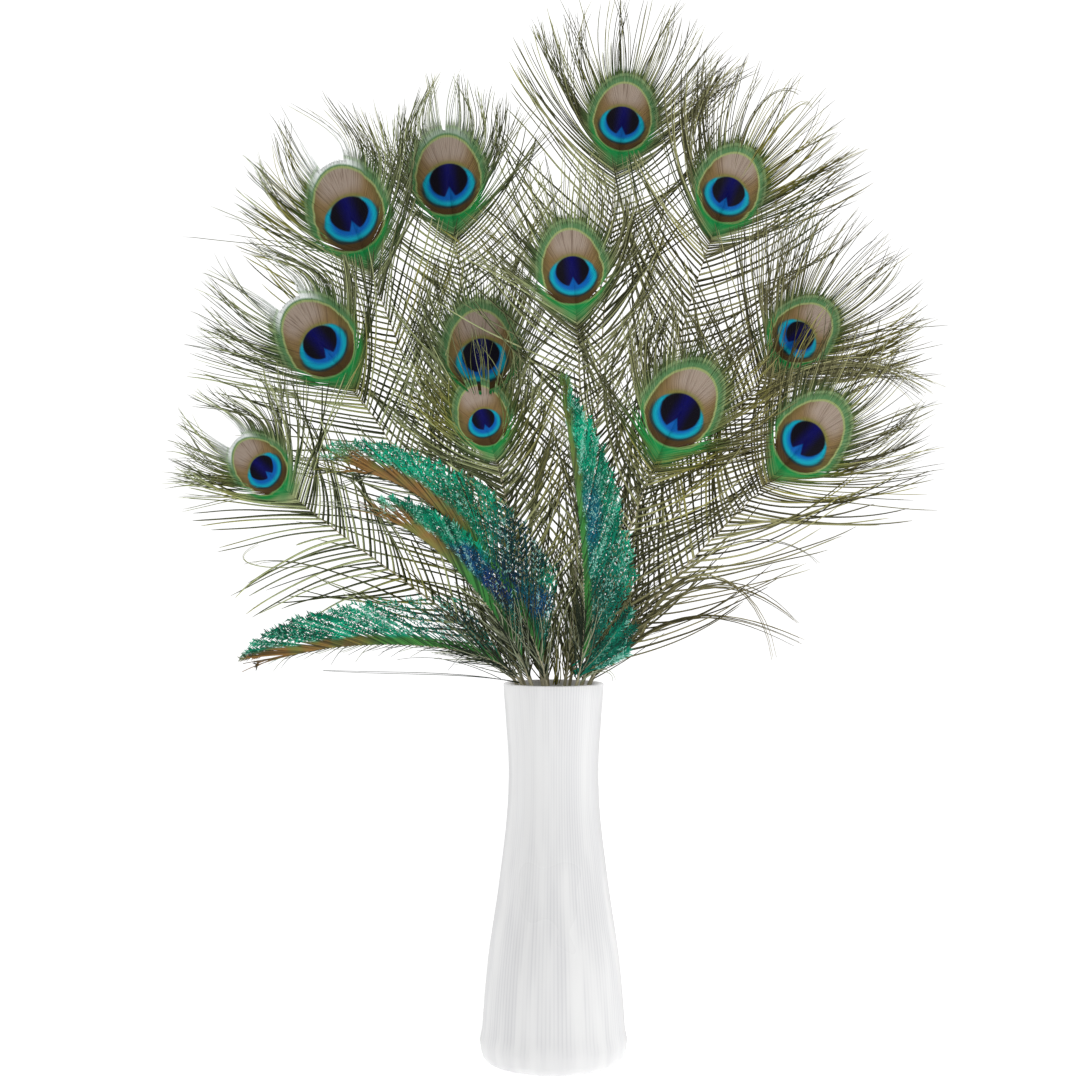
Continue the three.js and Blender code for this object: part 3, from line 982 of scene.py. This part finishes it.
# %% Eye pattern group
eye_inputs = {"Plan": "Vector", "Barb": "Color", "Streak": "Float", "Window": "Float", "Marks": "Vector"}
tree, given, result = new_group("eye_pattern", eye_inputs, {"Color": "Color", "Gloss": "Float"})
u, v, _ = tree.split(given["Plan"])
ring_size, pupil_size, _ = tree.split(given["Marks"])
wide = tree.math("ABSOLUTE", u)
times, band = tree.times, tree.band


def oval(half_wide, high, low, middle, size=1.0):
    """Distance out from the middle of an oval, 1 on its edge; its upper and lower halves may differ."""
    up = tree.subtract(v, middle)
    upper = tree.math("DIVIDE", tree.math("MAXIMUM", up, 0), high)
    lower = tree.math("DIVIDE", tree.math("MINIMUM", up, 0), low)
    across = tree.math("DIVIDE", u, half_wide)
    squares = tree.add(times(upper, upper), times(lower, lower))
    return tree.math("DIVIDE", tree.math("SQRT", tree.add(squares, times(across, across))), size)


def inside_of(distance, edge, blur):
    return band(distance, edge + blur, edge - blur)


def painted(ground, *coats):
    """The ground with coats over it, one after another: each a mask, its strength and a colour."""
    for mask, strength, coat in coats:
        coat = paint(coat) if isinstance(coat, str) else coat
        ground = tree.mix(times(mask, strength), ground, coat)
    return ground


# %% Rim, bronze, ring and pupil
out = oval(EYE_WIDE, EYE_HIGH, EYE_LOW, 0)
ring_out = oval(14.9, 11.6, 13.2, -1.0, ring_size)
pupil_out = oval(10.6, 9.0, 10.2, 1.8, pupil_size)
streak = given["Streak"]
near = tree.mix(0.34, given["Barb"], paint("#487c40"))
rim = tree.mix(inside_of(v, -4, 12), paint("#5a8456"), paint("#228a42"))
rim = painted(rim, (streak, 0.3, "#b0c096"))
bronze = tree.mix(band(v, -15, -5), paint("#4c3a1e"), paint("#6a5e34"))
bronze = painted(
    bronze,
    (times(band(v, -4, 5), inside_of(wide, 16, 3)), 1, "#866e46"),
    (times(band(v, 7, 18), inside_of(wide, 12, 5)), 1, "#a69688"),
    (streak, 0.5, "#5a4434"),
)
window = times(band(out, 1.06, 1.12), times(band(v, 4, 16), inside_of(wide, 13, 5)))
chin = times(inside_of(wide, 7, 5), times(inside_of(v, -18, 3), band(v, -34, -24)))
outer_line = times(band(out, 1.19, 1.22), times(inside_of(out, 1.27, 0.02), band(v, -8, 4)))
pale_line = times(inside_of(out, 1.05, 0.02), band(v, -26, -10))
under = times(inside_of(ring_out, 1.09, 0.05), inside_of(v, 0, 5))
ring = tree.mix(band(ring_out, 0.66, 0.92), paint("#0b62b4"), paint("#10a6bc"))
ring = painted(ring, (band(ring_out, 0.88, 1.03), 1, "#12747c"))
glow = times(inside_of(pupil_out, 1.18, 0.14), band(v, 5, 9))
notch = tree.subtract(times(tree.subtract(-3.0, v), 0.55), wide)
pupil = tree.mix(inside_of(wide, 3.0, 4.0), paint("#0a0714"), paint("#07075a"))
colour = painted(
    given["Barb"],
    (inside_of(out, 1.5, 0.25), 1, near),
    (inside_of(out, 1.2, 0.09), 1, rim),
    (window, given["Window"], "#f0f5f2"),
    (chin, 0.7, "#17904c"),
    (outer_line, 0.45, "#9ab884"),
    (pale_line, 0.65, "#b3b878"),
    (inside_of(out, 1.0, 0.02), 1, bronze),
    (under, 0.85, "#14343a"),
    (inside_of(ring_out, 1.0, 0.045), 1, ring),
    (glow, 0.7, "#7f8038"),
    (inside_of(pupil_out, 1.0, 0.06), inside_of(notch, 0.0, 0.7), pupil),
)
tree.link(colour, result["Color"])
tree.link(inside_of(ring_out, 1.05, 0.1), result["Gloss"])

# %% Tail feather material
tail, shader = plain_material("tail_barbs")
nodes = Tree(tail.node_tree)
spot = nodes.place()
rightness = nodes.band(nodes.split(spot)[0], -0.08, 0.12)
dark = nodes.mix(rightness, paint("#2b3119"), paint("#2b2816"))
light = nodes.mix(rightness, paint("#cad49c"), paint("#c5c38e"))
golden = nodes.band(nodes.noise(spot, 17, 1), 0.52, 0.68)
light = nodes.mix(nodes.times(golden, 0.7), light, paint("#aaa22c"))
brown = nodes.band(nodes.noise(spot, 11, 1), 0.48, 0.66)
brown = nodes.times(brown, nodes.add(0.2, nodes.times(rightness, 0.4)))
light = nodes.mix(brown, light, paint("#6e5636"))
mossy = nodes.band(nodes.noise(spot, 13, 1), 0.4, 0.25)
dark = nodes.mix(nodes.times(mossy, 0.7), dark, paint("#1c3c28"))
strand, around = nodes.uv("strand"), nodes.uv("around")
barb = nodes.use("barb_colour", "Color", Dark=dark, Light=light, Strand=strand, Around=around)
side_round, window, _ = nodes.split(around)
streak = nodes.band(nodes.noise(strand, 14, 1, stretch=(0.15, 60, 1)), 0.5, 0.72)
plan, marks = nodes.uv("plan"), nodes.uv("marks")
eye = nodes.use("eye_pattern", "Color", Plan=plan, Barb=barb, Streak=streak, Window=window, Marks=marks)
back = nodes.times(nodes.band(side_round, 0.66, 0.67), 0.75)
nodes.link(nodes.mix(back, eye, paint("#5a4a34")), shader.inputs["Base Color"])
nodes.link(nodes.subtract(0.55, nodes.times(eye.node.outputs["Gloss"], 0.2)), shader.inputs["Roughness"])
shader.inputs["Specular IOR Level"].default_value = 0.1
print("tail material nodes:", len(tail.node_tree.nodes))

# %% [markdown]
# ## The sword feather's colours
#
# The plan gives how far out from the shaft a point lies and how far it is from the tip. A gold strip runs
# beside the shaft and turns green lower down. Outside it the barbules are emerald, with deep blue patches in
# the lower half of the blades and a painted shade of dark teal low down beside the shaft. Each barbule has
# its
# own brightness: the darker ones carry a painted shade and the brightest a painted pale glint, which makes
# the blade glitter. The list says where the blades are blue: the middle across and up, the spread across and
# up, in metres, and the colour.

# %% Deep blue patches
BLUE_PATCHES = [
    ((-0.030, 0.257), (0.018, 0.015), "#15307c"),
    ((-0.048, 0.270), (0.017, 0.010), "#12508c"),
    ((0.019, 0.292), (0.007, 0.024), "#0a6e84"),
    ((-0.017, 0.279), (0.024, 0.025), "#0b3644"),
    ((-0.008, 0.247), (0.010, 0.010), "#185a8c"),
    ((-0.052, 0.237), (0.022, 0.008), "#0c3e44"),
]

# %% Sword feather material
sword, shader = plain_material("sword_barbs")
nodes = Tree(sword.node_tree)
out, up, _ = nodes.split(nodes.uv("plan"))
tone = nodes.split(nodes.uv("strand"))[1]
spot = nodes.place()
x, _, z = nodes.split(spot)
patch = nodes.noise(spot, 60, 2)
rightness = nodes.band(x, -0.03, 0.005)
gold = nodes.mix(rightness, paint("#94703e"), paint("#6f7a3a"))
strip = nodes.mix(nodes.band(up, -85, -50), paint("#3f8a40"), gold)
strip = nodes.mix(nodes.times(nodes.band(patch, 0.4, 0.6), 0.4), strip, paint("#5f9a4a"))
blade = nodes.mix(nodes.band(patch, 0.35, 0.65), paint("#008460"), paint("#02c294"))
# Painted shade: low on the blade, near the shaft, the emerald is mixed towards dark teal.
low = nodes.times(nodes.band(up, -60, -120), nodes.band(out, 24, 15))
blade = nodes.mix(nodes.times(low, 0.7), blade, paint("#0a5450"))
ragged = nodes.times(nodes.noise(spot, 140, 1), 0.7)
for (middle_x, middle_z), (spread_x, spread_z), card in BLUE_PATCHES:
    to_x = nodes.times(nodes.subtract(x, middle_x), 1 / spread_x)
    to_z = nodes.times(nodes.subtract(z, middle_z), 1 / spread_z)
    away = nodes.math("SQRT", nodes.add(nodes.times(to_x, to_x), nodes.times(to_z, to_z)))
    inside_patch = nodes.band(nodes.add(away, ragged), 1.5, 0.8)
    blade = nodes.mix(nodes.times(inside_patch, 0.92), blade, paint(card))
edge = nodes.times(nodes.add(nodes.band(patch, 0.3, 0.7), rightness), 1.5)
colour = nodes.mix(nodes.band(nodes.add(out, edge), 4.0, 6.4), strip, blade)
# Painted shade and painted glints: barbules with a high tone are mixed dark, and those with a low tone get a
# pale glint.
shade = nodes.mix(nodes.times(nodes.band(tone, 0.4, 0.95), 0.85), colour, paint("#03201c"))
glint = nodes.mix(nodes.times(nodes.band(tone, 0.2, 0.02), 0.62), shade, paint("#b4f4e4"))
thin_side = nodes.band(out, -0.1, -0.4)
thread = nodes.mix(nodes.band(tone, 0.5, 0.95), paint("#222e1e"), paint("#a3aa8c"))
nodes.link(nodes.mix(thin_side, glint, thread), shader.inputs["Base Color"])
shader.inputs["Roughness"].default_value = 0.36
shader.inputs["Specular IOR Level"].default_value = 0.2
print("sword material nodes:", len(sword.node_tree.nodes))

# %% Shaft material
ivory, shader = plain_material("ivory_shaft")
nodes = Tree(ivory.node_tree)
spot = nodes.place()
fibre = nodes.noise(spot, 300, 2, stretch=(1, 1, 0.05))
horn = nodes.mix(fibre, paint("#b5a67e"), paint("#eae2cc"))
# Low down, towards the mouth, the shaft is mixed towards a dark olive.
low = nodes.band(nodes.split(spot)[2], 0.29, 0.215)
darker_near_mouth = nodes.times(low, nodes.add(0.35, nodes.times(fibre, 0.4)))
nodes.link(nodes.mix(darker_near_mouth, horn, paint("#6f7048")), shader.inputs["Base Color"])
nodes.link(nodes.bump(fibre, 0.3, 0.0002), shader.inputs["Normal"])
shader.inputs["Roughness"].default_value = 0.4

# %% [markdown]
# ## The feathers
#
# Now the feathers are made, one after another. Each takes the place of its solid in the frame and has its own
# seed for chance. The strays are listed by the number of the feather that they belong to.

# %% Eyed tail feathers
STRAYS = {
    4: [([(103, 490), (110, 525), (128, 546), (143, 536)], 3, 1.6, 0.4),
        ([(107, 486), (125, 515), (144, 538), (150, 531)], 4, 1.6, 0.4)],
    5: [([(-13, 284), (-9, 305), (-7, 325), (3, 342)], 16, 2.4, 0.5)],
    8: [([(1, 203), (3, 212), (-1, 224), (3, 240)], 14, 4.0, 0.3)],
    7: [([(-39, 366), (-39, 373), (-40, 381), (-42, 392)], 28, 5.0, 0.2)],
    9: [([(-45, 226), (-90, 258), (-146, 275), (-166, 267)], 3, 2.0, 0.35),
        ([(-122, 268), (-150, 262), (-188, 266), (-160, 277)], 2, 1.2, 0.3)],
    12: [([(46, 226), (62, 277), (112, 268), (119, 214)], 3, 2.2, 0.62),
         ([(40, 224), (70, 268), (105, 262), (134, 238)], 4, 3.0, 0.6),
         ([(31, 213), (60, 246), (92, 244), (134, 226)], 5, 2.4, 0.62),
         ([(80, 270), (103, 285), (132, 281), (145, 268)], 2, 1.5, 0.4),
         ([(112, 358), (138, 376), (172, 384), (204, 364)], 26, 5.0, 0.5)],
}
feather_count = 0
for number, values in enumerate(EYE_FEATHERS, 1):
    chance = np.random.default_rng(100 + number)
    feather = with_shaft(values)
    rod = shaft_strand(feather, 3, 0.9, 0.12)
    tuft = down_tuft(feather, chance, 48)
    sets = [rod, tail_side(feather, 1, chance), tail_side(feather, -1, chance), tuft]
    loose_ends = [stray_bundle(feather, bundle, chance) for bundle in STRAYS.get(number, [])]
    sets += loose_ends
    shares = [0.04, 0.42, 0.42, 0.08] + [0.04 / len(loose_ends) for _ in loose_ends]
    marks = (min(1.0, 3 * feather["window"]), feather["ring"], feather["pupil"])
    piece = feather_object(f"tail_feather_{number:02d}", sets, shares, [tail, ivory], marks)
    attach(piece, "root")
    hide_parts(f"eye_feather_{number:02d}")
    feather_count += sum(part["count"] for part in sets)
print("strands in the tail feathers:", feather_count)

# %% [markdown]
# The sword feathers' table gives the same places. It also says how far below the tip the blade opens and how
# suddenly, how its spread changes downwards, how far the bare wisps reach, how wide the plain strip beside
# the shaft is and how early it turns green, how much the blade thins at its foot and how full it is.

# %% Sword feathers
USUAL_SWORD = dict(opening=(40, 1), full=1.0, spread=(1.0, 1.0))
SWORD_ROWS = [
    dict(layer=0, mouth=12, end=(6, 345), lean=-10, reach=1.0, wisps=14, opening=(60, 1.5),
         strip=2.6, early_green=30, thin_foot=0.35),
    dict(layer=2, mouth=-4, end=(-107, 316), lean=-88, reach=0.95, wisps=26,
         strip=4.6, early_green=0, thin_foot=0.55, full=0.8, spread=(0.55, 1.1)),
    dict(layer=1, mouth=-12, end=(-86, 290), lean=-68, reach=0.8, wisps=22,
         strip=4.2, early_green=32, thin_foot=1.0, spread=(0.85, 0.95)),
    dict(layer=3, mouth=-17, end=(-146, 217), lean=-107, reach=0.85, wisps=12, opening=(30, 1),
         strip=4.8, early_green=20, thin_foot=0.9, full=0.8),
]
SWORD_FEATHERS = [{**USUAL_SWORD, **row} for row in SWORD_ROWS]
SWORD_STRAYS = {
    2: [([(-92, 322), (-102, 326), (-112, 325), (-122, 319)], 5, 3.0, 0.28),
        ([(-90, 324), (-100, 330), (-107, 339), (-100, 343)], 2, 2.0, 0.22),
        ([(-92, 316), (-105, 312), (-115, 306), (-124, 308)], 4, 3.0, 0.25)],
    3: [([(-84, 292), (-98, 298), (-112, 302), (-126, 300)], 5, 3.5, 0.28),
        ([(-84, 288), (-96, 288), (-108, 292), (-118, 300)], 3, 2.5, 0.22)],
    1: [([(14, 204), (21, 212), (31, 213), (31, 205)], 2, 0.8, 0.35)],
    4: [([(-18, 204), (-52, 211), (-84, 208), (-123, 210)], 2, 1.0, 0.22),
        ([(-28, 206), (-50, 217), (-66, 220), (-82, 216)], 1, 1.0, 0.2)],
}


def low_patch(feather, chance):
    """A small emerald tuft that fans out sideways at the foot of the upright sword feather."""
    count = 16
    roots = np.stack([chance.uniform(9, 15, count), chance.uniform(206, 213, count)], axis=1)
    bearing = np.linspace(36, 66, count) + chance.normal(0, 2, count)
    reach = np.linspace(44, 30, count) * chance.uniform(0.9, 1.05, count)
    growth = bearing, bearing * 1.1, bearing * 0.85, reach
    steps = np.linspace(0, 1, STATIONS)[None] * np.ones((count, 1))
    line = barb_lines(roots, np.zeros(count), 1, growth, steps)
    # The plan puts the tuft low and near the shaft, where the blade gets its painted shade.
    plan = np.stack([7 + 9 * steps, -102 + 0 * steps], axis=-1)
    half = mix(0.4, 0.2, steps)
    barbs = ridged(feather, line, 0, half, plan, chance.uniform(0.3, 0.8, count))
    bare = np.full(count, 0.3)
    return [barbs, barbules(feather, line, plan, bare, np.ones(count), chance)]


for number, values in enumerate(SWORD_FEATHERS, 1):
    chance = np.random.default_rng(200 + number)
    feather = with_shaft(values)
    rod = shaft_strand(feather, 0, 0.85, 0.15)
    tuft = down_tuft(feather, chance, 36)
    sets = [rod, *sword_side(feather, 1, chance), *sword_side(feather, -1, chance), tuft]
    extra = [stray_bundle(feather, bundle, chance) for bundle in SWORD_STRAYS.get(number, [])]
    extra += low_patch(feather, chance) if number == 1 else []
    shares = [0.04, 0.29, 0.43, 0.10, 0.06] + [0.08 / len(extra) for _ in extra]
    piece = feather_object(f"sword_{number:02d}", sets + extra, shares, [sword, ivory])
    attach(piece, "root")
    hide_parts(f"sword_feather_{number:02d}")
    print(piece.name, "triangles:", sum(len(p.vertices) - 2 for p in piece.data.polygons))
